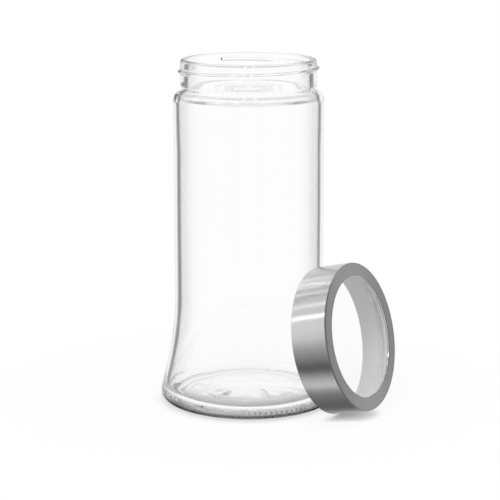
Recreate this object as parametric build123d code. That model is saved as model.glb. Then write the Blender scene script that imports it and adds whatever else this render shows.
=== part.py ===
from build123d import *
import math
import os

# Sourdough starter jar: an open, wide-mouthed glass jar with its screw lid leant against it.
# Millimetres, +Z up. The origin is the centre of the ring that the jar stands on.

# Glass jar, outside
jar_height = 247.5
body_radius = 53.5
foot_radius = 64.4
heel_radius = 6.8
heel_slope = 16.0
flare_top = 76.0
flare_power = 1.8
flare_shares = (0.8, 0.6, 0.4, 0.2)
standing_ring_width = 4.3

# Glass jar, inside
wall = 4.0
lip_width = 5.1
floor_thickness = 5.5
floor_crown = 4.0
floor_flat_radius = 51.0
inner_flare_shares = (0.92, 0.6, 0.3)
inner_shoulder_height = 9.0

# Push-up under the bottom, with the ring that the mould leaves in it
push_up_height = 5.0
push_up_edge_rise = 1.2
push_up_edge_run = 1.5
mould_ring_radius = 33.0
mould_ring_bead = 0.6

# Neck and lip, measured in from the body and down from the rim
band_inset = 5.2
band_height = 17.9
neck_depth = 2.5
neck_fillet = 1.7
neck_length = 0.6
lip_outer_rounding = 2.0
lip_inner_rounding = 1.5

# Screw thread of the jar and of the lid
thread_pitch = 5.08
thread_turns = 1.0
jar_ridge_height = 1.8
jar_ridge_rounding = 1.3
jar_ridge_top_drop = 4.8
jar_ridge_start = 114.0
lid_ridge_height = 1.4
lid_ridge_rounding = 1.2
lid_ridge_top_drop = 9.5
lid_ridge_start = 90.0
thread_clearance = 0.5

# Lid
liner_wall = 1.2
liner_rim_inset = 0.4
shell_thickness = 0.5
shell_height = 27.0
shell_corner_rounding = 1.0
shell_top_width = 9.75
shell_lip_drop = 0.6
hem_height = 3.5
hem_thickness = 1.1
window_thickness = 1.5
window_overlap = 2.0
ledge_thickness = 1.0
ledge_overlap = 1.4
seal_thickness = 1.3
seal_inset = 0.3
seal_side_gap = 0.15
seat_clearance = 0.1

# How the lid stands: on its rim, with its open side against the jar
lid_azimuth = -28.85
lid_lean = 13.03
lid_side_shift = -3.1
lean_gap = 0.3

# Levels and radii that follow from these
rim_z = jar_height
band_radius = body_radius - band_inset
bore_radius = band_radius - lip_width
neck_radius = band_radius - neck_depth
shoulder_flat_radius = neck_radius + neck_fillet
shoulder_radius = body_radius - shoulder_flat_radius
band_rounding = band_radius - neck_radius
band_bottom_z = rim_z - band_height
neck_top_z = band_bottom_z - band_rounding
neck_bottom_z = neck_top_z - neck_length
shoulder_top_z = neck_bottom_z - neck_fillet
body_top_z = shoulder_top_z - shoulder_radius
heel_top_radius = foot_radius - heel_radius * (1 - math.cos(math.radians(heel_slope)))
heel_top_z = heel_radius * (1 + math.sin(math.radians(heel_slope)))
standing_ring_outer = foot_radius - heel_radius
standing_ring_inner = standing_ring_outer - standing_ring_width
push_up_edge_radius = standing_ring_inner - push_up_edge_run
push_up_rise = push_up_height - push_up_edge_rise
push_up_sphere = (push_up_edge_radius ** 2 + push_up_rise ** 2) / (2 * push_up_rise)
push_up_centre_z = push_up_height - push_up_sphere
jar_thread_radius = band_radius + jar_ridge_height

liner_inner_radius = jar_thread_radius + thread_clearance
liner_radius = liner_inner_radius + liner_wall
shell_inner_radius = liner_radius + seat_clearance
shell_radius = shell_inner_radius + shell_thickness
shell_opening_radius = shell_radius - shell_top_width
hem_inner_radius = shell_radius - hem_thickness
hem_rounding = hem_thickness / 2
shell_ceiling = shell_height - shell_thickness
shell_lip_bottom = shell_ceiling - shell_lip_drop
liner_top = shell_ceiling - seat_clearance
window_top = shell_lip_bottom - seat_clearance
window_bottom = window_top - window_thickness
window_radius = shell_opening_radius + window_overlap
ledge_top = window_bottom - seat_clearance
ledge_bottom = ledge_top - ledge_thickness
ledge_inner_radius = window_radius - ledge_overlap
seal_top = ledge_bottom
seal_bottom = seal_top - seal_thickness
liner_skirt_radius = hem_inner_radius - seat_clearance
liner_skirt_top = hem_height + seat_clearance


def flare_point(share, inset):
    """Point of the flared foot's wall: share 0 is at the top of the flare, 1 at the heel."""
    radius = body_radius + (heel_top_radius - body_radius) * share ** flare_power
    height = flare_top - (flare_top - heel_top_z) * share
    return (radius - inset, height)


def turned(outline):
    """Solid of revolution about Z of an outline drawn as (radius, height)."""
    return revolve(Plane.XZ * make_face(outline), axis=Axis.Z)


def with_ridge(piece, path_radius, rounding, top_z, start_angle):
    """The piece with a thread ridge on it: a round bead along a right-hand helix, with rounded ends."""
    rise = thread_pitch * thread_turns
    path = Helix(pitch=thread_pitch, height=rise, radius=path_radius, center=(0, 0, top_z - rise))
    section = Plane(origin=path @ 0, z_dir=path % 0) * Circle(rounding)
    start = Rot(0, 0, start_angle)
    piece = piece + start * sweep(section, path=path, is_frenet=True)
    for end in (path @ 0, path @ 1):
        piece = piece + start * Pos(end.X, end.Y, end.Z) * Sphere(rounding)
    return piece


def jar_outline():
    """Half section of the jar: up the outside from the standing ring, over the lip and down the inside."""
    slope = math.radians(heel_slope)
    heel = CenterArc((standing_ring_outer, heel_radius), heel_radius, -90, 90 + heel_slope)
    flare_points = [flare_point(share, 0) for share in (1, *flare_shares, 0)]
    flare = Spline(*flare_points, tangents=((-math.sin(slope), math.cos(slope)), (0, 1)))
    body = Line((body_radius, flare_top), (body_radius, body_top_z))
    shoulder = CenterArc((shoulder_flat_radius, body_top_z), shoulder_radius, 0, 90)
    neck_curve = CenterArc((shoulder_flat_radius, neck_bottom_z), neck_fillet, -90, -90)
    neck = Line((neck_radius, neck_bottom_z), (neck_radius, neck_top_z))
    band_curve = CenterArc((neck_radius, band_bottom_z), band_rounding, -90, 90)
    lip_side_z = rim_z - lip_outer_rounding
    band = Line((band_radius, band_bottom_z), (band_radius, lip_side_z))
    lip_outer = CenterArc((band_radius - lip_outer_rounding, lip_side_z), lip_outer_rounding, 0, 90)
    lip_inner_x = bore_radius + lip_inner_rounding
    lip_inner_z = rim_z - lip_inner_rounding
    lip_top = Line((band_radius - lip_outer_rounding, rim_z), (lip_inner_x, rim_z))
    lip_inner = CenterArc((lip_inner_x, lip_inner_z), lip_inner_rounding, 90, 90)
    bore = Line((bore_radius, lip_inner_z), (bore_radius, neck_bottom_z))
    inner_top = (body_radius - wall, neck_bottom_z - inner_shoulder_height)
    inner_shoulder = Spline((bore_radius, neck_bottom_z), inner_top, tangents=((0, -1), (0, -1)))
    inner_body = Line(inner_top, (body_radius - wall, flare_top))
    inner_points = [flare_point(share, wall) for share in (0, *reversed(inner_flare_shares))]
    floor_edge = (floor_flat_radius, floor_thickness)
    inner_foot = Spline(*inner_points, floor_edge, tangents=((0, -1), (-1, 0)))
    floor_middle = (0, floor_thickness + floor_crown)
    floor = Spline(floor_edge, floor_middle, tangents=((-1, 0), (-1, 0)))
    axis_line = Line(floor_middle, (0, push_up_height))
    push_up_angle = math.degrees(math.asin(push_up_edge_radius / push_up_sphere))
    push_up = CenterArc((0, push_up_centre_z), push_up_sphere, 90, -push_up_angle)
    push_up_edge = Line((push_up_edge_radius, push_up_edge_rise), (standing_ring_inner, 0))
    standing_ring = Line((standing_ring_inner, 0), (standing_ring_outer, 0))
    outside = [heel, flare, body, shoulder, neck_curve, neck, band_curve, band, lip_outer, lip_top]
    inside = [lip_inner, bore, inner_shoulder, inner_body, inner_foot, floor]
    bottom = [axis_line, push_up, push_up_edge, standing_ring]
    return outside + inside + bottom


def glass_jar():
    """The jar in one piece of glass, with its thread and the ring in its push-up."""
    ridge_top = rim_z - jar_ridge_top_drop
    ridge_path_radius = jar_thread_radius - jar_ridge_rounding
    glass = turned(jar_outline())
    glass = with_ridge(glass, ridge_path_radius, jar_ridge_rounding, ridge_top, jar_ridge_start)
    ring_z = push_up_centre_z + math.sqrt(push_up_sphere ** 2 - mould_ring_radius ** 2)
    return glass + Pos(0, 0, ring_z) * Torus(mould_ring_radius, mould_ring_bead)


def joined(points):
    """Straight lines from each point to the next."""
    return [Line(start, end) for start, end in zip(points, points[1:])]


def ring(inner_radius, outer_radius, bottom, top):
    """Plain ring or, with no inner radius, a disc."""
    corners = [(inner_radius, bottom), (outer_radius, bottom), (outer_radius, top), (inner_radius, top)]
    return turned(joined(corners + corners[:1]))


def lid_shell():
    """Pressed steel cap: side wall, flat ring on top with its edge turned in, and a hem at the open end."""
    hem = CenterArc((shell_radius - hem_rounding, hem_rounding), hem_rounding, 180, 180)
    corner_radius = shell_radius - shell_corner_rounding
    corner_z = shell_height - shell_corner_rounding
    side = Line(hem @ 1, (shell_radius, corner_z))
    corner = CenterArc((corner_radius, corner_z), shell_corner_rounding, 0, 90)
    lip_z = shell_height - shell_thickness
    lip = CenterArc((shell_opening_radius + shell_thickness, lip_z), shell_thickness, 90, 90)
    top = Line(corner @ 1, lip @ 0)
    lip_inner_radius = shell_opening_radius + shell_thickness
    under = [
        (shell_opening_radius, lip_z),
        (shell_opening_radius, shell_lip_bottom),
        (lip_inner_radius, shell_lip_bottom),
        (lip_inner_radius, shell_ceiling),
        (corner_radius, shell_ceiling),
    ]
    inner_corner = CenterArc((corner_radius, corner_z), shell_corner_rounding - shell_thickness, 90, -90)
    inside = [
        (shell_inner_radius, corner_z),
        (shell_inner_radius, hem_height),
        (hem_inner_radius, hem_height),
        (hem_inner_radius, hem_rounding),
    ]
    return turned([hem, side, corner, top, lip] + joined(under) + [inner_corner] + joined(inside))


def lid_liner():
    """White plastic liner: wall with the female thread, skirt inside the hem, and ledge for the window."""
    window_seat_radius = window_radius + seat_clearance
    corners = [
        (liner_inner_radius, liner_rim_inset),
        (liner_skirt_radius, liner_rim_inset),
        (liner_skirt_radius, liner_skirt_top),
        (liner_radius, liner_skirt_top),
        (liner_radius, liner_top - shell_corner_rounding),
        (liner_radius - shell_corner_rounding, liner_top),
        (window_seat_radius, liner_top),
        (window_seat_radius, ledge_top),
        (ledge_inner_radius, ledge_top),
        (ledge_inner_radius, ledge_bottom),
        (liner_inner_radius, ledge_bottom),
    ]
    lid_ridge_path_radius = liner_inner_radius - lid_ridge_height + lid_ridge_rounding
    ridge_top = shell_height - lid_ridge_top_drop
    wall_ring = turned(joined(corners + corners[:1]))
    return with_ridge(wall_ring, lid_ridge_path_radius, lid_ridge_rounding, ridge_top, lid_ridge_start)


def lid_window():
    """Clear disc that closes the hole in the shell."""
    return ring(0, window_radius, window_bottom, window_top)


def lid_seal():
    """Soft ring that the jar's lip presses against."""
    outer_radius = liner_inner_radius - seal_side_gap
    return ring(ledge_inner_radius + seal_inset, outer_radius, seal_bottom, seal_top)


def lid_place():
    """Where the lid stands: its open end's centre, with local Z out of its flat top and local Y uphill."""
    lean = math.radians(lid_lean)
    azimuth = math.radians(lid_azimuth)
    outward = Vector(math.cos(azimuth), math.sin(azimuth), 0)
    sideways = Vector(0, 0, 1).cross(outward)
    hem_path_radius = shell_radius - hem_rounding
    centre_z = hem_path_radius * math.cos(lean) + hem_rounding * (1 - math.sin(lean))
    reach = hem_path_radius * math.sin(lean) + hem_rounding * (1 - math.cos(lean))
    centre = outward * (body_radius + lean_gap + reach) + sideways * lid_side_shift + Vector(0, 0, centre_z)
    top_direction = outward * math.cos(lean) + Vector(0, 0, math.sin(lean))
    return Plane(origin=centre, x_dir=sideways, z_dir=top_direction)


def stand_lid(piece):
    """Move a lid piece from the lid's own axes to where the lid stands."""
    return lid_place().location * piece


pieces = {
    "glass_jar": glass_jar(),
    "lid_shell": stand_lid(lid_shell()),
    "lid_liner": stand_lid(lid_liner()),
    "lid_window": stand_lid(lid_window()),
    "lid_seal": stand_lid(lid_seal()),
}
os.makedirs("parts", exist_ok=True)
for name, piece in pieces.items():
    export_step(piece, f"parts/{name}.step")
    box = piece.bounding_box()
    print(name, f"{piece.volume / 1000:.2f} ml", box.min, box.max)
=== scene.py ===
import math

import bmesh
import bpy
from mathutils import Matrix, Vector, geometry, noise


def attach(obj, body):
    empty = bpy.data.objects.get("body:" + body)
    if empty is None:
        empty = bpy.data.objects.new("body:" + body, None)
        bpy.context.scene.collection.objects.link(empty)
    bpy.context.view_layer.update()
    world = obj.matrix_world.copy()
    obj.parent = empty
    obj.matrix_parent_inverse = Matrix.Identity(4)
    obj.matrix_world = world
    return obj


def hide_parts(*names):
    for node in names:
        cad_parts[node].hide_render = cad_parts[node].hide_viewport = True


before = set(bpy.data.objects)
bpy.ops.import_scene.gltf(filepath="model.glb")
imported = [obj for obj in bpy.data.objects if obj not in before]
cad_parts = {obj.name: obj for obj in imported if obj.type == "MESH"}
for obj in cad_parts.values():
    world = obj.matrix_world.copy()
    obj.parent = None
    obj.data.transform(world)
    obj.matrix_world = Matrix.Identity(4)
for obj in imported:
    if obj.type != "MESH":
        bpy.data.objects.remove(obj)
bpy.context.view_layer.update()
mm = 0.001

# Camera

cameraSettings = {
    "place": (0.00074, -1.2409, 0.3738),  # metres, in the part's own frame
    "pitch": 12.036,  # degrees down from level
    "roll": -0.114,
    "lens": 126.5,
    "sensor": 36.0,
    "nearest": 0.05,
    "farthest": 30,
}


def setCamera(s):
    data = bpy.data.cameras.new("camera")
    data.sensor_fit = "HORIZONTAL"
    data.sensor_width = s["sensor"]
    data.lens = s["lens"]
    data.clip_start = s["nearest"]
    data.clip_end = s["farthest"]
    camera = bpy.data.objects.new("camera", data)
    bpy.context.scene.collection.objects.link(camera)
    level = Matrix.Rotation(math.radians(90 - s["pitch"]), 4, "X")
    turned = level @ Matrix.Rotation(math.radians(s["roll"]), 4, "Z")
    camera.matrix_world = Matrix.Translation(s["place"]) @ turned
    bpy.context.scene.camera = camera


setCamera(cameraSettings)
bpy.context.scene.view_settings.view_transform = "Standard"
# light runs a long way inside the jar's walls before it comes out
mostTurns = 64
cycles = bpy.context.scene.cycles
cycles.max_bounces = mostTurns
cycles.transmission_bounces = mostTurns
cycles.glossy_bounces = mostTurns
cycles.transparent_max_bounces = 32
print("camera set")

# Where the lid stands: its own Z comes out of the flat top, its own Y runs uphill

lidPlace = {
    "azimuth": -28.85,  # degrees
    "lean": 13.03,
    "sideShift": -3.1,  # millimetres, as are the lengths below it
    "leanGap": 0.3,
    "bodyRadius": 53.5,
    "shellRadius": 52.4,
    "hemRounding": 0.55,
}


def lidMatrix(s):
    azimuth = math.radians(s["azimuth"])
    lean = math.radians(s["lean"])
    outward = Vector((math.cos(azimuth), math.sin(azimuth), 0))
    sideways = Vector((0, 0, 1)).cross(outward)
    hemPath = s["shellRadius"] - s["hemRounding"]
    height = hemPath * math.cos(lean) + s["hemRounding"] * (1 - math.sin(lean))
    reach = hemPath * math.sin(lean) + s["hemRounding"] * (1 - math.cos(lean))
    centre = outward * (s["bodyRadius"] + s["leanGap"] + reach) + sideways * s["sideShift"]
    centre.z = height
    top = outward * math.cos(lean) + Vector((0, 0, math.sin(lean)))
    uphill = top.cross(sideways)
    turn = Matrix((sideways, uphill, top)).transposed()
    return Matrix.Translation(centre * mm) @ turn.to_4x4()


lidToWorld = lidMatrix(lidPlace)
lidAxis = lidToWorld.to_3x3().col[2].copy()
lidCentre = lidToWorld.translation.copy()

# Small helpers for node trees


def addNode(tree, kind, values=None, inputs=None):
    node = tree.nodes.new(kind)
    for name, value in (values or {}).items():
        setattr(node, name, value)
    for name, value in (inputs or {}).items():
        node.inputs[name].default_value = value
    return node


def join(tree, source, target):
    tree.links.new(source, target)


def math2(tree, operation, first, second=0.0, third=0.0):
    node = addNode(tree, "ShaderNodeMath", {"operation": operation})
    for socket, value in zip(node.inputs, (first, second, third)):
        if isinstance(value, (int, float)):
            socket.default_value = value
        else:
            join(tree, value, socket)
    return node.outputs[0]


def grey(tone):
    return (tone, tone, tone, 1)


def product(tree, *factors):
    result = factors[0]
    for factor in factors[1:]:
        result = math2(tree, "MULTIPLY", result, factor)
    return result


def opposite(tree, value):
    return math2(tree, "SUBTRACT", 1.0, value)


def fromSigned(tree, value):
    # brings a value between -1 and 1 to between 0 and 1
    return product(tree, math2(tree, "ADD", value, 1.0), 0.5)


def dotWith(tree, direction, fixed):
    node = addNode(tree, "ShaderNodeVectorMath", {"operation": "DOT_PRODUCT"})
    join(tree, direction, node.inputs[0])
    node.inputs[1].default_value = fixed
    return node.outputs["Value"]


def lengthOf(tree, vector):
    node = addNode(tree, "ShaderNodeVectorMath", {"operation": "LENGTH"})
    join(tree, vector, node.inputs[0])
    return node.outputs["Value"]


def splitUp(tree, vector):
    node = addNode(tree, "ShaderNodeSeparateXYZ")
    join(tree, vector, node.inputs[0])
    return node.outputs


def toneRamp(tree, value, stops):
    node = addNode(tree, "ShaderNodeValToRGB")
    ramp = node.color_ramp
    while len(ramp.elements) > 1:
        ramp.elements.remove(ramp.elements[-1])
    ramp.elements[0].position = stops[0][0]
    ramp.elements[0].color = grey(stops[0][1])
    for place, tone in stops[1:]:
        ramp.elements.new(place).color = grey(tone)
    join(tree, value, node.inputs["Fac"])
    return node.outputs["Color"]


def faded(tree, value, start, end, low=0.0, high=1.0):
    node = addNode(tree, "ShaderNodeMapRange", {"interpolation_type": "SMOOTHSTEP"})
    for name, limit in (("From Min", start), ("From Max", end), ("To Min", low), ("To Max", high)):
        node.inputs[name].default_value = limit
    join(tree, value, node.inputs["Value"])
    return node.outputs["Result"]


def blend(tree, share, first, second):
    node = addNode(tree, "ShaderNodeMix", {"data_type": "FLOAT"})
    for name, value in (("Factor", share), ("A", first), ("B", second)):
        if isinstance(value, (int, float)):
            node.inputs[name].default_value = value
        else:
            join(tree, value, node.inputs[name])
    return node.outputs["Result"]


def mixShaders(tree, share, first, second):
    node = addNode(tree, "ShaderNodeMixShader")
    for socket, value in zip(node.inputs, (share, first, second)):
        join(tree, value, socket)
    return node.outputs[0]


def ribShare(tree, split, count):
    # 1 over each of the ribs round the foot, 0 between two
    angle = product(tree, math2(tree, "ARCTAN2", split["Y"], split["X"]), count)
    return fromSigned(tree, math2(tree, "COSINE", angle))


# Studio: a white backdrop and floor, darker walls to the sides, a dark ceiling with strip lamps

viewToLid = (lidCentre - Vector(cameraSettings["place"])).normalized()

studio = {
    "fillLight": 0.61,  # what rough surfaces are lit with from all round
    # tones that the lid's side mirrors, by the angle round its axis, in degrees
    "roundTheLid": (
        (-180, 0.5), (-164, 0.3), (-151, 0.13), (-144, 0.17), (-136, 0.4), (-124, 0.72), (-116, 0.8),
        (-110, 0.5), (-100, 0.28), (-75, 0.16), (-57, 0.16), (-46, 0.3), (-30, 0.52), (-18, 0.6),
        (-6, 0.85), (15, 0.9), (52, 0.85), (126, 0.88), (150, 0.97), (165, 0.82), (180, 0.5),
    ),
    # strip lamps over the lid: place round its axis, half the width and how bright
    "strips": (
        (55, 0.9, 0.9), (67, 1.0, 1.6), (76, 0.8, 0.6), (93, 1.0, 1.0), (112, 2.5, 1.0), (131, 3.2, 2.0),
    ),
    # the same lamps, mirrored by the lid's side and then seen through the jar
    "stripsThroughGlass": 5.0,
    "lidCone": (0.3, 0.45),  # how far from the lid's mirror direction they fade out
    "stripsHeight": (0.1, 0.3),
    # the lid's flat ring mirrors one small part of the room: its tone, and the share left to the sides
    "faceTone": 0.45,
    "faceSides": 0.42,
    "faceWidth": (0.05, 0.3),
    "faceEdge": (-0.1, 0.1),
    # the floor far behind, seen steeply through the shoulder: its tone, where it starts, and two white
    # lamps in it
    "farFloor": 0.62,
    "farFloorHeight": (-0.255, -0.3),
    "farFloorBack": (0.75, 0.85),
    "farFloorLamps": ((-0.009, 0.003), (0.012, 0.003)),
    "farFloorCrossings": 2.5,
    # tones by the angle away from the backdrop's middle, for light turned inside the glass
    "insideGlass": (
        (0, 1.0), (22, 1.0), (30, 0.17), (45, 0.17), (55, 0.3), (60, 0.5), (75, 0.85), (95, 1.0),
    ),
    "levelBand": (0.3, 0.55),  # sine of the height over which the inside tones fade out
    # tones by the sine of the height: turned inside the glass, and mirrored by its outside
    "insideHeight": ((-1, 1.0), (0.1, 1.0), (0.5, 0.85), (0.8, 0.7), (1, 0.6)),
    "outsideHeight": ((-1, 0.8), (0.15, 0.72), (0.4, 0.2), (0.6, 0.04), (1, 0.04)),
    # how much is left of the inside tones after so many turns, for light that doesn't leave downwards
    "turnsInside": ((0, 1.0), (3, 1.0), (5, 0.95), (9, 0.9), (63, 0.85)),
    "downwards": (-0.3, 0.0),
    # strip lamps on the ceiling: place, half the width and how bright
    "ceilingStrips": ((-0.22, 0.05, 4.0), (0.27, 0.05, 4.0)),
    "ceilingHeight": (0.6, 0.8),
    # a small dark card behind, to the left and slanted, which the left shoulder mirrors: place and half
    # the width
    "cardAcross": (-0.38, 0.17),
    "cardHeight": (0.1, 0.12),
    "cardBehind": 0.5,
    "cardTurns": 4.5,  # light that has turned and crossed more often than this misses the card
}


def angleShare(angle):
    return (angle + 180) / 360


def sineShare(sine):
    return (sine + 1) / 2


def stripStops(strips, share):
    stops = [(0, 0)]
    for place, half, bright in strips:
        stops += [(share(place + edge), tone) for edge, tone in ((-half, 0), (0, bright), (half, 0))]
    return stops


def sideTones(tree, direction, s):
    turn = lidToWorld.to_3x3()
    uphill, across = dotWith(tree, direction, turn.col[1]), dotWith(tree, direction, turn.col[0])
    # the angle round the lid, as a share of a whole turn
    around = product(tree, math2(tree, "ARCTAN2", uphill, across), 0.5 / math.pi)
    around = math2(tree, "ADD", around, 0.5)
    side = toneRamp(tree, around, [(angleShare(angle), tone) for angle, tone in s["roundTheLid"]])
    return side, toneRamp(tree, around, stripStops(s["strips"], angleShare))


def faceTones(tree, direction, s):
    mirrored = viewToLid.reflect(lidAxis)
    sideways = Vector((mirrored.y, -mirrored.x, 0)).normalized()
    across = math2(tree, "ABSOLUTE", dotWith(tree, direction, sideways))
    return blend(tree, faded(tree, across, *s["faceWidth"]), s["faceTone"], s["faceTone"] * s["faceSides"])


def throughTones(tree, axes, paths, s):
    x, y, z = axes
    white = 0.0
    for place, half in s["farFloorLamps"]:
        white = math2(tree, "ADD", white, math2(tree, "COMPARE", x, place, half))
    crossed = math2(tree, "GREATER_THAN", paths["Transmission Depth"], s["farFloorCrossings"])
    far = product(tree, faded(tree, z, *s["farFloorHeight"]), faded(tree, y, *s["farFloorBack"]), crossed)
    return blend(tree, far, 1.0, blend(tree, white, s["farFloor"], 1.0))


def insideTones(tree, axes, paths, s):
    x, y, z = axes
    sideways = math2(tree, "DIVIDE", math2(tree, "ABSOLUTE", math2(tree, "ARCTAN2", x, y)), math.pi)
    level = toneRamp(tree, sideways, [(angle / 180, tone) for angle, tone in s["insideGlass"]])
    height = [(sineShare(sine), tone) for sine, tone in s["insideHeight"]]
    steep = faded(tree, math2(tree, "ABSOLUTE", z), *s["levelBand"])
    tone = blend(tree, steep, level, toneRamp(tree, fromSigned(tree, z), height))
    turns = math2(tree, "DIVIDE", paths["Glossy Depth"], mostTurns)
    left = toneRamp(tree, turns, [(count / mostTurns, share) for count, share in s["turnsInside"]])
    return product(tree, tone, blend(tree, faded(tree, z, *s["downwards"]), 1.0, left))


def stripsInGlass(tree, z, toSide, strips, paths, s):
    offCone = math2(tree, "ABSOLUTE", math2(tree, "SUBTRACT", toSide, viewToLid.dot(lidAxis)))
    onCone = opposite(tree, faded(tree, offCone, *s["lidCone"]))
    once = math2(tree, "LESS_THAN", paths["Glossy Depth"], 1.5)
    return product(tree, strips, onCone, once, faded(tree, z, *s["stripsHeight"]), s["stripsThroughGlass"])


def outsideTones(tree, axes, s):
    x, _, z = axes
    height = [(sineShare(sine), tone) for sine, tone in s["outsideHeight"]]
    lampTones = toneRamp(tree, fromSigned(tree, x), stripStops(s["ceilingStrips"], sineShare))
    lampTones = product(tree, lampTones, faded(tree, z, *s["ceilingHeight"]))
    return math2(tree, "ADD", toneRamp(tree, fromSigned(tree, z), height), lampTones)


def darkCard(tree, axes, paths, s):
    x, y, z = axes
    across = math2(tree, "COMPARE", math2(tree, "SUBTRACT", x, z), *s["cardAcross"])
    height = math2(tree, "COMPARE", z, *s["cardHeight"])
    behind = math2(tree, "GREATER_THAN", y, s["cardBehind"])
    turnsAndCrossings = math2(tree, "ADD", paths["Glossy Depth"], paths["Transmission Depth"])
    few = math2(tree, "LESS_THAN", turnsAndCrossings, s["cardTurns"])
    return product(tree, across, height, behind, few, paths["Is Singular Ray"])


def seenDirectly(tree, paths):
    # rays that come to the camera without having lit a rough surface on their way
    seen = math2(tree, "MAXIMUM", paths["Is Camera Ray"], paths["Is Transmission Ray"])
    seen = math2(tree, "MAXIMUM", seen, paths["Is Glossy Ray"])
    return product(tree, seen, math2(tree, "LESS_THAN", paths["Diffuse Depth"], 0.5))


def setWorld(s):
    world = bpy.data.worlds.new("studio")
    bpy.context.scene.world = world
    world.use_nodes = True
    tree = world.node_tree
    tree.nodes.clear()
    direction = addNode(tree, "ShaderNodeTexCoord").outputs["Generated"]
    paths = addNode(tree, "ShaderNodeLightPath").outputs
    axes = tuple(splitUp(tree, direction))
    z = axes[2]
    side, strips = sideTones(tree, direction, s)
    toSide = dotWith(tree, direction, lidAxis)

    inside = insideTones(tree, axes, paths, s)
    inside = math2(tree, "ADD", inside, stripsInGlass(tree, z, toSide, strips, paths, s))
    side = math2(tree, "ADD", side, strips)
    inGlass = math2(tree, "MINIMUM", paths["Transmission Depth"], 1.0)
    byGlass = blend(tree, inGlass, outsideTones(tree, axes, s), inside)
    bySteel = blend(tree, faded(tree, toSide, *s["faceEdge"]), side, faceTones(tree, direction, s))
    mirrored = blend(tree, paths["Is Singular Ray"], bySteel, byGlass)
    mirrored = product(tree, mirrored, opposite(tree, darkCard(tree, axes, paths, s)))
    reflected = math2(tree, "MINIMUM", paths["Glossy Depth"], 1.0)

    seenTone = addNode(tree, "ShaderNodeBackground")
    tone = blend(tree, reflected, throughTones(tree, axes, paths, s), mirrored)
    join(tree, tone, seenTone.inputs["Color"])
    lit = addNode(tree, "ShaderNodeBackground", inputs={"Color": grey(1), "Strength": s["fillLight"]})
    mixed = mixShaders(tree, seenDirectly(tree, paths), lit.outputs[0], seenTone.outputs[0])
    join(tree, mixed, addNode(tree, "ShaderNodeOutputWorld").inputs["Surface"])


setWorld(studio)

# places, aims and sizes in metres, power in watts
lamps = {
    "overhead": {"place": (0.05, -0.75, 1.15), "aim": (0.03, 0.0, 0.08), "size": 0.9, "power": 10.0},
    "left": {"place": (-1.3, -0.7, 0.7), "aim": (0.0, 0.0, 0.12), "size": 0.9, "power": 3.5},
}


def addLamps(settings):
    for name, s in settings.items():
        data = bpy.data.lights.new(name, "AREA")
        data.shape = "SQUARE"
        data.size = s["size"]
        data.energy = s["power"]
        lamp = bpy.data.objects.new(name, data)
        bpy.context.scene.collection.objects.link(lamp)
        aim = Vector(s["aim"]) - Vector(s["place"])
        lamp.location = s["place"]
        lamp.rotation_euler = aim.to_track_quat("-Z", "Y").to_euler()
        lamp.visible_camera = False
        lamp.visible_glossy = False
        lamp.visible_transmission = False


addLamps(lamps)

floorSettings = {
    "radius": 0.32,  # metres, as the places and distances below
    "segments": 96,
    "drop": 0.15,  # millimetres that it lies under the standing ring, so that the two never share a plane
    "colour": 0.86,
    "shadowKept": 0.1,  # share of the floor's own shading that the white leaves
    "fade": (0.1, 0.25),
    # the darker floor close under things, stronger towards the viewer
    "contactReach": 0.007,
    "contactSamples": 8,
    "contactDepth": 0.7,
    "contactBack": 0.05,
    "contactTurn": (-0.02, 0.025),
    # it is darkest under the front of the heel
    "heelPlace": (0.06, 0.005),
    "heelDepth": 0.98,
    # share of it beside the jar that shows where no glass is in front of it
    "besideJar": 0.068,
    "contactSeen": 0.35,
    # under the front of the ring the floor is dark for light turned inside the glass, by the ring's ribs
    "ringPlace": (0.059, 0.0065),
    "ringBack": 0.02,
    "ribs": 104,
    "ringTones": (0.05, 0.6),  # between two ribs and under one
    # the outside of the foot mirrors the floor close to it
    "mirroredReach": 0.08,
    "mirroredContact": 8.0,
}


def contactShade(tree, near, distance, split, paths, s):
    depth = blend(tree, faded(tree, split["Y"], *s["contactTurn"]), s["contactDepth"], s["contactBack"])
    front = math2(tree, "LESS_THAN", split["Y"], s["ringBack"])
    heel = product(tree, math2(tree, "COMPARE", distance, *s["heelPlace"]), front)
    beside = product(tree, paths["Is Camera Ray"], math2(tree, "LESS_THAN", distance, s["besideJar"]))
    seen = blend(tree, beside, 1.0, s["contactSeen"])
    return product(tree, blend(tree, heel, depth, s["heelDepth"]), seen, opposite(tree, near))


def mirroredFloor(tree, near, distance, split, paths, s):
    often = math2(tree, "GREATER_THAN", paths["Glossy Depth"], 1.5)
    ribbed = blend(tree, ribShare(tree, split, s["ribs"]), *s["ringTones"])
    tone = blend(tree, often, math2(tree, "POWER", near, s["mirroredContact"]), ribbed)
    dark = addNode(tree, "ShaderNodeEmission", inputs={"Color": grey(1)})
    join(tree, tone, dark.inputs["Strength"])
    front = math2(tree, "LESS_THAN", split["Y"], s["ringBack"])
    under = product(tree, math2(tree, "COMPARE", distance, *s["ringPlace"]), often, front)
    once = math2(tree, "COMPARE", paths["Glossy Depth"], 1.0, 0.5)
    uncrossed = math2(tree, "LESS_THAN", paths["Transmission Depth"], 0.5)
    outer = product(tree, once, uncrossed, math2(tree, "LESS_THAN", distance, s["mirroredReach"]))
    kept = product(tree, math2(tree, "MAXIMUM", under, outer), paths["Is Singular Ray"])
    clear = addNode(tree, "ShaderNodeBsdfTransparent")
    return mixShaders(tree, kept, clear.outputs[0], dark.outputs[0])


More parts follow.
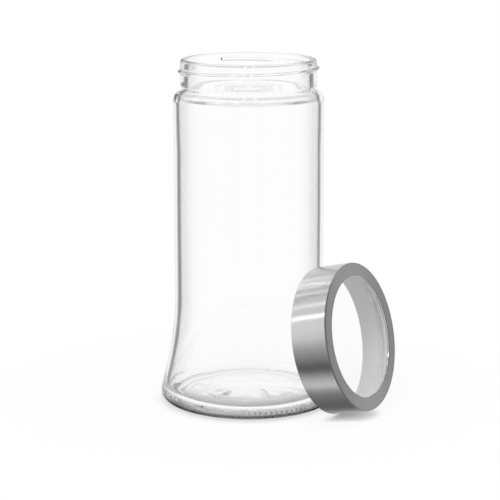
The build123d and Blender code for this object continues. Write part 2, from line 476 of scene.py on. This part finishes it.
def floorMaterial(s):
    material = bpy.data.materials.new("pale floor")
    material.use_nodes = True
    tree = material.node_tree
    tree.nodes.clear()
    paths = addNode(tree, "ShaderNodeLightPath").outputs
    place = addNode(tree, "ShaderNodeTexCoord").outputs["Object"]
    split = splitUp(tree, place)
    distance = lengthOf(tree, place)
    closeness = addNode(tree, "ShaderNodeAmbientOcclusion", {"samples": s["contactSamples"]})
    closeness.inputs["Distance"].default_value = s["contactReach"]
    near = closeness.outputs["AO"]
    paint = addNode(tree, "ShaderNodeBsdfDiffuse", inputs={"Color": grey(s["colour"])})
    white = addNode(tree, "ShaderNodeEmission", inputs={"Color": grey(1)})
    shade = contactShade(tree, near, distance, split, paths, s)
    join(tree, opposite(tree, shade), white.inputs["Strength"])
    whiteness = faded(tree, distance, *s["fade"], 1 - s["shadowKept"], 1)
    share = product(tree, seenDirectly(tree, paths), whiteness)
    shown = mixShaders(tree, share, paint.outputs[0], white.outputs[0])
    reflected = math2(tree, "MINIMUM", paths["Glossy Depth"], 1.0)
    final = mixShaders(tree, reflected, shown, mirroredFloor(tree, near, distance, split, paths, s))
    join(tree, final, addNode(tree, "ShaderNodeOutputMaterial").inputs["Surface"])
    return material


def addFloor(s):
    bm = bmesh.new()
    bmesh.ops.create_circle(bm, cap_ends=True, segments=s["segments"], radius=s["radius"])
    bmesh.ops.translate(bm, verts=bm.verts, vec=(0, 0, -s["drop"] * mm))
    mesh = bpy.data.meshes.new("floor")
    bm.to_mesh(mesh)
    bm.free()
    mesh.materials.append(floorMaterial(s))
    floor = bpy.data.objects.new("floor", mesh)
    bpy.context.scene.collection.objects.link(floor)


addFloor(floorSettings)
print("studio set")

# Outlines, drawn in millimetres as (radius, height)

shortestEdge = 0.01
mergeDistance = 0.002
threadMargin = 0.1  # plain wall above and below a thread
onWall = 0.05  # how near a point has to be to the wall that a thread is raised from


def arc(centre, radius, start, end, count):
    points = []
    for step in range(count + 1):
        angle = math.radians(start + (end - start) * step / count)
        points.append((centre[0] + radius * math.cos(angle), centre[1] + radius * math.sin(angle)))
    return points


def curve(start, startHandle, endHandle, end, count):
    knots = [Vector((*point, 0)) for point in (start, startHandle, endHandle, end)]
    return [(p.x, p.y) for p in geometry.interpolate_bezier(*knots, count + 1)]


def run(start, end, count):
    return [tuple(a + (b - a) * step / count for a, b in zip(start, end)) for step in range(count + 1)]


def outline(*parts):
    points = []
    for part in parts:
        for point in part:
            if not points or math.dist(point, points[-1]) > shortestEdge:
                points.append(point)
    return points


def spun(points, steps, closed):
    bm = bmesh.new()
    corners = [bm.verts.new((radius * mm, 0, height * mm)) for radius, height in points]
    for first, second in zip(corners, corners[1:]):
        bm.edges.new((first, second))
    if closed:
        bm.edges.new((corners[-1], corners[0]))
    # a sixteenth of the turn is spun, then copied round, which is much quicker than one long spin
    bmesh.ops.spin(
        bm, geom=bm.verts[:] + bm.edges[:], cent=(0, 0, 0), axis=(0, 0, 1), dvec=(0, 0, 0),
        angle=math.pi / 8, steps=steps // 16, use_merge=False, use_normal_flip=False, use_duplicate=False,
    )
    for angle in (math.pi / 8, math.pi / 4, math.pi / 2, math.pi):
        copied = bmesh.ops.duplicate(bm, geom=bm.verts[:] + bm.edges[:] + bm.faces[:])
        moved = [item for item in copied["geom"] if isinstance(item, bmesh.types.BMVert)]
        bmesh.ops.rotate(bm, verts=moved, cent=(0, 0, 0), matrix=Matrix.Rotation(angle, 3, "Z"))
    bmesh.ops.remove_doubles(bm, verts=bm.verts, dist=mergeDistance * mm)
    bmesh.ops.recalc_face_normals(bm, faces=bm.faces)
    return bm


def finish(bm, name, body, material, nodes, smoothAngle=35, place=None):
    if place is not None:
        bmesh.ops.transform(bm, matrix=place, verts=bm.verts)
    mesh = bpy.data.meshes.new(name)
    bm.to_mesh(mesh)
    bm.free()
    mesh.shade_smooth()
    mesh.set_sharp_from_angle(angle=math.radians(smoothAngle))
    mesh.materials.append(material)
    piece = bpy.data.objects.new(name, mesh)
    bpy.context.scene.collection.objects.link(piece)
    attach(piece, body)
    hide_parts(*nodes)
    mesh.calc_loop_triangles()
    print(name, len(mesh.loop_triangles), "triangles")


def bump(distance, halfWidth):
    share = max(0.0, 1 - (distance / halfWidth) ** 2)
    return share * share


def threadSpan(top, s):
    # the highest and the lowest point at which the thread moves the wall, with a small margin
    high = top + s["threadHalfWidth"] + threadMargin
    return high, high - s["threadPitch"] - 2 * s["threadHalfWidth"] - 2 * threadMargin


def raiseThread(bm, wallRadius, height, topZ, s):
    # pushes one turn of thread out of a wall, to one side of wallRadius by the sign of height
    high, low = threadSpan(topZ, s)
    for vert in bm.verts:
        radius = math.hypot(vert.co.x, vert.co.y) / mm
        z = vert.co.z / mm
        if abs(radius - wallRadius) > onWall or not low - threadMargin < z < high + threadMargin:
            continue
        angle = (math.degrees(math.atan2(vert.co.y, vert.co.x)) - s["threadStart"]) % 360
        best = 0.0
        for turn in (-1, 0, 1):
            along = angle + 360 * turn
            held = min(max(along, 0), 360)
            ends = math.radians(along - held) * wallRadius
            level = topZ - s["threadPitch"] + s["threadPitch"] * held / 360
            best = max(best, bump(math.hypot(z - level, ends), s["threadHalfWidth"]))
        moved = (radius + height * best) / radius
        vert.co.x *= moved
        vert.co.y *= moved


# Materials


def newMaterial(name):
    material = bpy.data.materials.new(name)
    material.use_nodes = True
    tree = material.node_tree
    return material, tree, tree.nodes["Principled BSDF"]


def spread(tree, value, low, high):
    node = addNode(tree, "ShaderNodeMapRange", inputs={"To Min": low, "To Max": high})
    join(tree, value, node.inputs["Value"])
    return node.outputs["Result"]


def hideInGlass(tree, shader):
    # the picture shows no mirror images of the lid in the jar's walls
    paths = addNode(tree, "ShaderNodeLightPath").outputs
    turned = math2(tree, "GREATER_THAN", paths["Glossy Depth"], 0.5)
    clear = addNode(tree, "ShaderNodeBsdfTransparent")
    final = mixShaders(tree, product(tree, turned, paths["Is Singular Ray"]), shader, clear.outputs[0])
    join(tree, final, tree.nodes["Material Output"].inputs["Surface"])


def steelMaterial(s):
    material, tree, shader = newMaterial("brushed steel")
    hideInGlass(tree, shader.outputs[0])
    shader.inputs["Metallic"].default_value = 1
    shader.inputs["Anisotropic"].default_value = s["anisotropy"]
    shader.inputs["Anisotropic Rotation"].default_value = s["anisotropyTurn"]
    place = addNode(tree, "ShaderNodeTexCoord").outputs["Object"]
    # grain in rings round the lid's own axis
    toLid = addNode(tree, "ShaderNodeMapping", {"vector_type": "TEXTURE"})
    toLid.inputs["Location"].default_value = lidCentre
    toLid.inputs["Rotation"].default_value = lidToWorld.to_3x3().to_euler()
    join(tree, place, toLid.inputs["Vector"])
    split = splitUp(tree, toLid.outputs[0])
    flat = addNode(tree, "ShaderNodeCombineXYZ")
    join(tree, split["X"], flat.inputs["X"])
    join(tree, split["Y"], flat.inputs["Y"])
    across = math2(tree, "ADD", lengthOf(tree, flat.outputs[0]), split["Z"])
    grainPlace = addNode(tree, "ShaderNodeCombineXYZ")
    join(tree, product(tree, split["X"], s["grainAlong"]), grainPlace.inputs["X"])
    join(tree, product(tree, split["Y"], s["grainAlong"]), grainPlace.inputs["Y"])
    join(tree, product(tree, across, s["grainAcross"]), grainPlace.inputs["Z"])
    noiseInputs = {"Scale": 1.0, "Detail": s["grainDetail"], "Roughness": s["grainRoughness"]}
    grain = addNode(tree, "ShaderNodeTexNoise", inputs=noiseInputs)
    join(tree, grainPlace.outputs[0], grain.inputs["Vector"])
    colour = addNode(tree, "ShaderNodeMix", {"data_type": "RGBA"})
    colour.inputs["A"].default_value = grey(s["darkest"])
    colour.inputs["B"].default_value = grey(s["lightest"])
    join(tree, grain.outputs["Fac"], colour.inputs["Factor"])
    join(tree, colour.outputs["Result"], shader.inputs["Base Color"])
    gloss = spread(tree, grain.outputs["Fac"], s["smoothest"], s["roughest"])
    join(tree, gloss, shader.inputs["Roughness"])
    depths = {"Strength": s["grainStrength"], "Distance": s["grainDepth"]}
    height = addNode(tree, "ShaderNodeBump", inputs=depths)
    join(tree, grain.outputs["Fac"], height.inputs["Height"])
    join(tree, height.outputs["Normal"], shader.inputs["Normal"])
    # the tangent runs along the grain
    fromCentre = addNode(tree, "ShaderNodeVectorMath", {"operation": "SUBTRACT"})
    join(tree, place, fromCentre.inputs[0])
    fromCentre.inputs[1].default_value = lidCentre
    along = addNode(tree, "ShaderNodeVectorMath", {"operation": "CROSS_PRODUCT"})
    along.inputs[0].default_value = lidAxis
    join(tree, fromCentre.outputs[0], along.inputs[1])
    join(tree, along.outputs[0], shader.inputs["Tangent"])
    return material


mottleSettings = {"cloudDetail": 3.5, "gritDetail": 2.0, "gritDistance": 0.00005}


def mottleGroup(s):
    # a cloudy colour between two tones, its mask, and the normal of a fine grit
    group = bpy.data.node_groups.new("mottle", "ShaderNodeTree")
    taken = {
        "Scale": "NodeSocketFloat", "Dark": "NodeSocketColor", "Light": "NodeSocketColor",
        "Grit Scale": "NodeSocketFloat", "Grit Depth": "NodeSocketFloat",
    }
    made = {"Colour": "NodeSocketColor", "Mask": "NodeSocketFloat", "Normal": "NodeSocketVector"}
    for way, sockets in (("INPUT", taken), ("OUTPUT", made)):
        for name, kind in sockets.items():
            group.interface.new_socket(name, in_out=way, socket_type=kind)
    given = addNode(group, "NodeGroupInput").outputs
    out = addNode(group, "NodeGroupOutput")
    place = addNode(group, "ShaderNodeTexCoord").outputs["Object"]
    cloud = addNode(group, "ShaderNodeTexNoise", inputs={"Detail": s["cloudDetail"]})
    join(group, place, cloud.inputs["Vector"])
    join(group, given["Scale"], cloud.inputs["Scale"])
    colour = addNode(group, "ShaderNodeMix", {"data_type": "RGBA"})
    join(group, cloud.outputs["Fac"], colour.inputs["Factor"])
    join(group, given["Dark"], colour.inputs[6])
    join(group, given["Light"], colour.inputs[7])
    grit = addNode(group, "ShaderNodeTexNoise", inputs={"Detail": s["gritDetail"]})
    join(group, place, grit.inputs["Vector"])
    join(group, given["Grit Scale"], grit.inputs["Scale"])
    height = addNode(group, "ShaderNodeBump", inputs={"Distance": s["gritDistance"]})
    join(group, given["Grit Depth"], height.inputs["Strength"])
    join(group, grit.outputs["Fac"], height.inputs["Height"])
    join(group, colour.outputs[2], out.inputs["Colour"])
    join(group, cloud.outputs["Fac"], out.inputs["Mask"])
    join(group, height.outputs["Normal"], out.inputs["Normal"])
    return group


mottle = mottleGroup(mottleSettings)


def mottled(tree, shader, s):
    node = addNode(tree, "ShaderNodeGroup", {"node_tree": mottle})
    node.inputs["Scale"].default_value = s["mottleScale"]
    node.inputs["Dark"].default_value = grey(s["darkest"])
    node.inputs["Light"].default_value = grey(s["lightest"])
    node.inputs["Grit Scale"].default_value = s["gritScale"]
    node.inputs["Grit Depth"].default_value = s["gritDepth"]
    join(tree, node.outputs["Colour"], shader.inputs["Base Color"])
    return node.outputs


def paintedFootShade(tree, colour, s):
    # painted shade: darkens the foot by height, most of all over its ribs, in place of the contact shade seen
    # through the thick glass; the heights are in millimetres
    place = addNode(tree, "ShaderNodeTexCoord").outputs["Object"]
    split = splitUp(tree, place)
    height = math2(tree, "DIVIDE", split["Z"], s["footTop"] * mm)
    tone, dots = (
        toneRamp(tree, height, [(level / s["footTop"], share) for level, share in stops])
        for stops in (s["paintedFootShadeTones"], s["paintedRibShadeDots"])
    )
    ribbed = ribShare(tree, split, s["ribs"])
    noiseInputs = {"Scale": s["footCloud"], "Detail": s["footCloudDetail"]}
    cloud = addNode(tree, "ShaderNodeTexNoise", inputs=noiseInputs)
    join(tree, place, cloud.inputs["Vector"])
    dots = product(tree, dots, ribbed, ribbed, faded(tree, cloud.outputs["Fac"], *s["cloudEdge"]))
    tone = product(tree, tone, opposite(tree, dots))
    # only on the outer side of the foot, seen from outside
    outer = opposite(tree, addNode(tree, "ShaderNodeNewGeometry").outputs["Backfacing"])
    share = product(tree, faded(tree, lengthOf(tree, place), *s["footReach"]), outer)
    shaded = addNode(tree, "ShaderNodeVectorMath", {"operation": "SCALE"})
    join(tree, colour, shaded.inputs[0])
    join(tree, blend(tree, share, 1.0, tone), shaded.inputs["Scale"])
    return shaded.outputs[0]


def clearMaterial(name, s):
    material, tree, shader = newMaterial(name)
    shader.inputs["Transmission Weight"].default_value = 1
    shader.inputs["Roughness"].default_value = 0
    shader.inputs["IOR"].default_value = s["ior"]
    surface = mottled(tree, shader, s)
    # the foot's colour gets painted shade by height and painted dots of shade over its ribs
    if "paintedFootShadeTones" in s:
        join(tree, paintedFootShade(tree, surface["Colour"], s), shader.inputs["Base Color"])
    # light that casts shadows goes straight through
    clear = addNode(tree, "ShaderNodeBsdfTransparent", inputs={"Color": grey(s["shadow"])})
    paths = addNode(tree, "ShaderNodeLightPath").outputs
    final = mixShaders(tree, paths["Is Shadow Ray"], shader.outputs[0], clear.outputs[0])
    if s["hidden"]:
        hideInGlass(tree, final)
    else:
        join(tree, final, tree.nodes["Material Output"].inputs["Surface"])
    return material


def plasticMaterial(name, s):
    material, tree, shader = newMaterial(name)
    hideInGlass(tree, shader.outputs[0])
    surface = mottled(tree, shader, s)
    gloss = spread(tree, surface["Mask"], s["smoothest"], s["roughest"])
    join(tree, gloss, shader.inputs["Roughness"])
    join(tree, surface["Normal"], shader.inputs["Normal"])
    return material


steel = steelMaterial({
    "anisotropy": 1.0, "anisotropyTurn": 0.25, "darkest": 0.6, "lightest": 0.72,
    "smoothest": 0.15, "roughest": 0.21, "grainAlong": 12.0, "grainAcross": 6000.0,
    "grainDetail": 4.0, "grainRoughness": 0.6, "grainStrength": 0.12, "grainDepth": 0.00002,
})
jarGlass = clearMaterial("jar glass", {
    "ior": 1.5, "darkest": 1.0, "lightest": 0.99, "mottleScale": 14.0, "gritScale": 1000.0, "gritDepth": 0.0,
    "shadow": 0.9, "hidden": False,
    "footTop": 10.0, "ribs": 104, "footCloud": 40.0, "footCloudDetail": 2.0, "cloudEdge": (0.4, 0.55),
    "footReach": (0.0608, 0.0616),  # metres from the middle of the standing ring
    # painted shade on the foot, as shares of its colour by height in millimetres
    "paintedFootShadeTones": (
        (0.7, 1.0), (1.2, 0.1), (2.0, 0.03), (3.6, 0.03), (4.4, 0.15), (5.3, 0.3), (7.0, 0.42), (8.5, 0.65),
        (10.0, 1.0),
    ),
    # painted dots of shade over the ribs, by height in millimetres
    "paintedRibShadeDots": ((4.6, 0.0), (5.3, 0.9), (6.5, 0.9), (7.2, 0.0)),
})
windowPlastic = clearMaterial("window plastic", {
    "ior": 1.2, "darkest": 1.0, "lightest": 0.985, "mottleScale": 20.0, "gritScale": 1000.0, "gritDepth": 0.0,
    "shadow": 0.95, "hidden": True,
})
linerPlastic = plasticMaterial("liner plastic", {
    "darkest": 0.86, "lightest": 0.92, "mottleScale": 60.0, "smoothest": 0.4, "roughest": 0.55,
    "gritScale": 2500.0, "gritDepth": 0.1,
})
sealRubber = plasticMaterial("seal silicone", {
    "darkest": 0.78, "lightest": 0.84, "mottleScale": 80.0, "smoothest": 0.6, "roughest": 0.75,
    "gritScale": 3000.0, "gritDepth": 0.15,
})
print("materials made")

# Glass jar

jarShape = {
    "height": 247.5, "bodyRadius": 53.5, "footRadius": 64.4, "heelRadius": 6.8, "heelSlope": 16.0,
    "flareTop": 76.0, "flarePower": 1.8, "innerFlareEnd": 0.92, "ringWidth": 4.3,
    "wall": 4.0, "lipWidth": 5.1, "innerShoulder": 9.0, "innerShoulderEase": 2.2,
    "floorThickness": 5.5, "floorCrown": 4.0, "floorFlat": 51.0, "cornerHandle": 5.5, "floorHandle": 18.0,
    "crownHandle": 20.0,
    "pushUp": 5.0, "pushUpEdgeRise": 1.2, "pushUpEdgeRun": 1.5,
    "mouldRing": 33.0, "mouldRingBead": 0.08, "mouldRingHalfWidth": 0.6,
    "bandInset": 5.2, "bandHeight": 17.9, "neckDepth": 2.5, "neckFillet": 1.7, "neckLength": 0.6,
    "lipOuter": 2.0, "lipInner": 1.5,
    "threadPitch": 5.08, "threadHeight": 1.8, "threadHalfWidth": 1.7, "threadTopDrop": 4.8,
    "threadStart": 114.0, "steps": 624,
    "cuts": {
        "heel": 12, "flare": 14, "body": 3, "shoulder": 9, "neck": 5, "band": 6, "thread": 22, "lip": 6,
        "lipInside": 5, "bore": 3, "innerShoulder": 9, "innerBody": 4, "corner": 9, "floor": 9,
    },
    "pushUpInner": (0.0, 6.0, 12.0, 18.0, 24.0, 30.0), "pushUpOuter": (38.0, 44.0),
    "mouldRingCuts": (-1.0, -0.6, -0.3, 0.0, 0.3, 0.6, 1.0), "ringCuts": (0.0, 0.6, 1.5, 2.4, 3.3),
    "ribs": 104, "ribDepth": 0.55, "ribReach": 0.3, "ribInset": 0.3, "ribOutset": 0.5,
    "waveScale": 0.09, "wallWaves": 0.12, "wallWaveRise": 0.018, "wallWaveFade": 20.0, "wallWaveReach": 8.0,
    "wallWaveBottom": 20.0, "wallWaveTop": 215.0,
    "insideMargin": 0.5, "insideFlare": 60.0, "insideSlope": 0.2, "insideDrop": 1.0,
    "floorWaves": 0.4, "floorWaveRise": 3.0, "floorWaveTop": 12.0, "floorWaveFade": 8.0,
    "floorWaveMargin": 0.2, "underWaveBottom": 0.8,
}


def jarOutline(s):
    cuts = s["cuts"]
    bandRadius = s["bodyRadius"] - s["bandInset"]
    boreRadius = bandRadius - s["lipWidth"]
    neckRadius = bandRadius - s["neckDepth"]
    bandBottom = s["height"] - s["bandHeight"]
    neckTop = bandBottom - s["neckDepth"]
    neckBottom = neckTop - s["neckLength"]
    flatRadius = neckRadius + s["neckFillet"]
    shoulderTop = neckBottom - s["neckFillet"]
    shoulderRadius = s["bodyRadius"] - flatRadius
    bodyTop = shoulderTop - shoulderRadius
    slope = math.radians(s["heelSlope"])
    heelTopRadius = s["footRadius"] - s["heelRadius"] * (1 - math.cos(slope))
    heelTop = s["heelRadius"] * (1 + math.sin(slope))
    ringOuter = s["footRadius"] - s["heelRadius"]
    ringInner = ringOuter - s["ringWidth"]

    def flare(share, inset=0.0):
        radius = s["bodyRadius"] + (heelTopRadius - s["bodyRadius"]) * share ** s["flarePower"]
        return (radius - inset, s["flareTop"] - (s["flareTop"] - heelTop) * share)

    flareSteps = range(cuts["flare"] + 1)
    heel = arc((ringOuter, s["heelRadius"]), s["heelRadius"], -90, s["heelSlope"], cuts["heel"])
    foot = [flare(1 - step / cuts["flare"]) for step in flareSteps]
    body = run((s["bodyRadius"], s["flareTop"]), (s["bodyRadius"], bodyTop), cuts["body"])
    shoulder = arc((flatRadius, bodyTop), shoulderRadius, 0, 90, cuts["shoulder"])
    neckCurve = arc((flatRadius, neckBottom), s["neckFillet"], -90, -180, cuts["neck"])
    bandCurve = arc((neckRadius, bandBottom), s["neckDepth"], -90, 0, cuts["band"])
    threadTop, threadBottom = threadSpan(s["height"] - s["threadTopDrop"], s)
    thread = run((bandRadius, threadBottom), (bandRadius, threadTop), cuts["thread"])
    lipSide = s["height"] - s["lipOuter"]
    band = [(bandRadius, bandBottom), *thread, (bandRadius, lipSide)]
    lip = arc((bandRadius - s["lipOuter"], lipSide), s["lipOuter"], 0, 90, cuts["lip"])
    lipCentre = (boreRadius + s["lipInner"], s["height"] - s["lipInner"])
    lipInside = arc(lipCentre, s["lipInner"], 90, 180, cuts["lipInside"])
    bore = run((boreRadius, lipCentre[1]), (boreRadius, neckBottom), cuts["bore"])

    innerRadius = s["bodyRadius"] - s["wall"]
    innerTop = neckBottom - s["innerShoulder"]
    ease = s["innerShoulder"] / s["innerShoulderEase"]
    innerShoulder = curve(
        (boreRadius, neckBottom), (boreRadius, neckBottom - ease),
        (innerRadius, innerTop + ease), (innerRadius, innerTop), cuts["innerShoulder"],
    )
    innerBody = run((innerRadius, innerTop), (innerRadius, s["flareTop"]), cuts["innerBody"])
    innerFoot = [flare(s["innerFlareEnd"] * step / cuts["flare"], s["wall"]) for step in flareSteps]
    last, before = Vector(innerFoot[-1]), Vector(innerFoot[-2])
    down = (last - before).normalized() * s["cornerHandle"]
    edge, bottom = s["floorFlat"], s["floorThickness"]
    corner = curve(
        tuple(last), tuple(last + down),
        (edge + s["cornerHandle"], bottom), (edge, bottom), cuts["corner"],
    )
    crown = bottom + s["floorCrown"]
    floor = curve(
        (edge, bottom), (edge - s["floorHandle"], bottom),
        (s["crownHandle"], crown), (0, crown), cuts["floor"],
    )

    # the push-up is part of a sphere, with the mould ring as a low bead on it
    edgeRadius = ringInner - s["pushUpEdgeRun"]
    rise = s["pushUp"] - s["pushUpEdgeRise"]
    sphere = (edgeRadius ** 2 + rise ** 2) / (2 * rise)
    half = s["mouldRingHalfWidth"]
    bead = [s["mouldRing"] + half * share for share in s["mouldRingCuts"]]
    underneath = []
    for radius in (*s["pushUpInner"], *bead, *s["pushUpOuter"], edgeRadius):
        height = s["pushUp"] - sphere + math.sqrt(sphere ** 2 - radius ** 2)
        height -= s["mouldRingBead"] * bump(radius - s["mouldRing"], half)
        underneath.append((radius, height))
    ring = [(ringInner + cut, 0) for cut in s["ringCuts"]]
    return outline(
        heel, foot, body, shoulder, neckCurve, bandCurve, band, lip, lipInside,
        bore, innerShoulder, innerBody, innerFoot, corner, floor, underneath, ring,
    )


def buildJar(s):
    points = jarOutline(s)
    print("jar outline", len(points), "points")
    bm = spun(points, s["steps"], True)
    bandRadius = s["bodyRadius"] - s["bandInset"]
    raiseThread(bm, bandRadius, s["threadHeight"], s["height"] - s["threadTopDrop"], s)
    ringOuter = s["footRadius"] - s["heelRadius"]
    ringInner = ringOuter - s["ringWidth"]
    innerRadius = s["bodyRadius"] - s["wall"] + s["insideMargin"]
    wavyRadius = s["bodyRadius"] + s["wallWaveReach"]
    for vert in bm.verts:
        x, y, z = vert.co / mm
        radius = math.hypot(x, y)
        if z < s["ribReach"] and ringInner + s["ribInset"] < radius < ringOuter + s["ribOutset"]:
            # fine ribs round the standing ring
            vert.co.z += s["ribDepth"] * mm * (0.5 - 0.5 * math.cos(s["ribs"] * math.atan2(y, x)))
            continue
        # the glass runs a little unevenly inside and under the bottom
        onFloor = z > s["floorThickness"] - s["floorWaveMargin"]
        under = s["underWaveBottom"] < z < s["pushUp"] + s["floorWaveMargin"]
        reach = innerRadius + max(0, s["insideFlare"] - z) * s["insideSlope"]
        inside = z > s["floorThickness"] - s["insideDrop"] and radius < reach
        if z < s["floorWaveTop"] and radius < s["floorFlat"] and (onFloor or under):
            swell = noise.noise(Vector((x, y, z * s["floorWaveRise"])) * s["waveScale"]) * s["floorWaves"]
            fade = min(1.0, (s["floorFlat"] - radius) / s["floorWaveFade"])
            vert.co.z += swell * fade * mm
        elif inside and s["wallWaveBottom"] < z < s["wallWaveTop"] and radius < wavyRadius:
            place = Vector((x * s["waveScale"], y * s["waveScale"], z * s["wallWaveRise"]))
            fade = min(1.0, (s["wallWaveTop"] - z) / s["wallWaveFade"])
            swell = noise.noise(place) * s["wallWaves"] * fade
            vert.co.x += swell * mm * x / radius
            vert.co.y += swell * mm * y / radius
    finish(bm, "glass_jar_body", "jar", jarGlass, ["glass_jar"], smoothAngle=50)


buildJar(jarShape)

# Lid, drawn in its own axes with its open end at height 0

lidShape = {
    "shellRadius": 52.4, "shellThickness": 0.5, "shellHeight": 27.0, "cornerRounding": 1.0, "topWidth": 9.75,
    "lipDrop": 0.6, "lipEdge": 0.1, "hemHeight": 3.5, "hemThickness": 1.1, "hemEdge": 0.15,
    "linerWall": 1.2, "clearance": 0.1, "linerRimInset": 0.4, "rimEdge": 0.15,
    "windowThickness": 1.5, "windowOverlap": 2.0, "windowEdge": 0.2,
    "ledgeThickness": 1.0, "ledgeOverlap": 1.4, "ledgeEdge": 0.2, "ledgeFillet": 0.6,
    "sealThickness": 1.3, "sealInset": 0.3, "sealSideGap": 0.15, "sealSoftness": 0.3, "sealTopDrop": 0.7,
    "sealTopInset": 0.6,
    "threadPitch": 5.08, "threadHeight": 1.4, "threadHalfWidth": 2.0, "threadTopDrop": 9.5,
    "threadStart": 90.0, "steps": 480, "innerSteps": 240,
    "cuts": {
        "hem": 10, "side": 3, "corner": 8, "top": 3, "lip": 6, "innerCorner": 4, "innerSide": 2, "thread": 24,
        "seal": 4,
    },
}


def lidLevels(s):
    shellInner = s["shellRadius"] - s["shellThickness"]
    linerOuter = shellInner - s["clearance"]
    opening = s["shellRadius"] - s["topWidth"]
    windowRadius = opening + s["windowOverlap"]
    ceiling = s["shellHeight"] - s["shellThickness"]
    windowTop = ceiling - s["lipDrop"] - s["clearance"]
    windowBottom = windowTop - s["windowThickness"]
    ledgeTop = windowBottom - s["clearance"]
    return {
        "shellInner": shellInner, "opening": opening, "ceiling": ceiling,
        "linerOuter": linerOuter, "linerInner": linerOuter - s["linerWall"],
        "linerTop": ceiling - s["clearance"],
        "windowRadius": windowRadius, "windowTop": windowTop, "windowBottom": windowBottom,
        "ledgeTop": ledgeTop, "ledgeBottom": ledgeTop - s["ledgeThickness"],
        "ledgeInner": windowRadius - s["ledgeOverlap"], "skirtTop": s["hemHeight"] + s["clearance"],
        "skirtRadius": s["shellRadius"] - s["hemThickness"] - s["clearance"],
    }


def buildShell(s, v):
    cuts, edge = s["cuts"], s["lipEdge"]
    hem = s["hemThickness"] / 2
    hemInner = s["shellRadius"] - s["hemThickness"]
    hemTop = s["hemHeight"]
    corner = s["shellRadius"] - s["cornerRounding"]
    cornerZ = s["shellHeight"] - s["cornerRounding"]
    lip = v["opening"] + s["shellThickness"]
    lipBottom = v["ceiling"] - s["lipDrop"]
    points = outline(
        arc((s["shellRadius"] - hem, hem), hem, 180, 360, cuts["hem"]),
        run((s["shellRadius"], hem), (s["shellRadius"], cornerZ), cuts["side"]),
        arc((corner, cornerZ), s["cornerRounding"], 0, 90, cuts["corner"]),
        run((corner, s["shellHeight"]), (lip, s["shellHeight"]), cuts["top"]),
        arc((lip, v["ceiling"]), s["shellThickness"], 90, 180, cuts["lip"]),
        [(v["opening"], lipBottom + edge), (v["opening"] + edge, lipBottom)],
        [(lip - edge, lipBottom), (lip, lipBottom + edge), (lip, v["ceiling"]), (corner, v["ceiling"])],
        arc((corner, cornerZ), s["cornerRounding"] - s["shellThickness"], 90, 0, cuts["innerCorner"]),
        run((v["shellInner"], cornerZ), (v["shellInner"], hemTop), cuts["innerSide"]),
        [(hemInner + s["hemEdge"], hemTop), (hemInner, hemTop - s["hemEdge"]), (hemInner, hem)],
    )
    bm = spun(points, s["steps"], True)
    finish(bm, "lid_steel_shell", "lid", steel, ["lid_shell"], place=lidToWorld)


def buildLiner(s, v):
    inner, outer, top = v["linerInner"], v["linerOuter"], v["linerTop"]
    ledge, ledgeTop, ledgeBottom = v["ledgeInner"], v["ledgeTop"], v["ledgeBottom"]
    ledgeEdge, fillet = s["ledgeEdge"], s["ledgeFillet"]
    skirt, bottom, edge = v["skirtRadius"], s["linerRimInset"], s["rimEdge"]
    seat = v["windowRadius"] + s["clearance"]
    threadZ = s["shellHeight"] - s["threadTopDrop"]
    threadTop, threadBottom = threadSpan(threadZ, s)
    points = outline(
        [(inner + edge, bottom), (skirt - edge, bottom), (skirt, bottom + edge)],
        [(skirt, v["skirtTop"]), (outer, v["skirtTop"])],
        [(outer, top - s["cornerRounding"]), (outer - s["cornerRounding"], top)],
        [(seat, top), (seat, ledgeTop), (ledge + ledgeEdge, ledgeTop), (ledge, ledgeTop - ledgeEdge)],
        [(ledge, ledgeBottom + ledgeEdge), (ledge + ledgeEdge, ledgeBottom)],
        [(inner - fillet, ledgeBottom), (inner, ledgeBottom - fillet)],
        run((inner, threadTop), (inner, threadBottom), s["cuts"]["thread"]),
        [(inner, bottom + edge)],
    )
    bm = spun(points, s["steps"], True)
    raiseThread(bm, inner, -s["threadHeight"], threadZ, s)
    finish(bm, "lid_plastic_liner", "lid", linerPlastic, ["lid_liner"], place=lidToWorld)


def buildWindow(s, v):
    bottom, top, radius, edge = v["windowBottom"], v["windowTop"], v["windowRadius"], s["windowEdge"]
    points = [
        (0, bottom), (radius - edge, bottom), (radius, bottom + edge),
        (radius, top - edge), (radius - edge, top), (0, top),
    ]
    bm = spun(points, s["innerSteps"], False)
    finish(
        bm, "lid_window_disc", "lid", windowPlastic, ["lid_window"], smoothAngle=30,
        place=lidToWorld,
    )


def buildSeal(s, v):
    top = v["ledgeBottom"]
    bottom = top - s["sealThickness"]
    inner = v["ledgeInner"] + s["sealInset"]
    outer = v["linerInner"] - s["sealSideGap"]
    soft = s["sealThickness"] * s["sealSoftness"]
    points = outline(
        arc((outer - soft, bottom + soft), soft, -90, 0, s["cuts"]["seal"]),
        [(outer, top - s["sealTopDrop"]), (outer - s["sealTopInset"], top), (inner, top)],
        arc((inner + soft, bottom + soft), soft, 180, 270, s["cuts"]["seal"]),
    )
    bm = spun(points, s["innerSteps"], True)
    finish(bm, "lid_silicone_seal", "lid", sealRubber, ["lid_seal"], place=lidToWorld)


levels = lidLevels(lidShape)
buildShell(lidShape, levels)
buildLiner(lidShape, levels)
buildWindow(lidShape, levels)
buildSeal(lidShape, levels)
print("lid made")
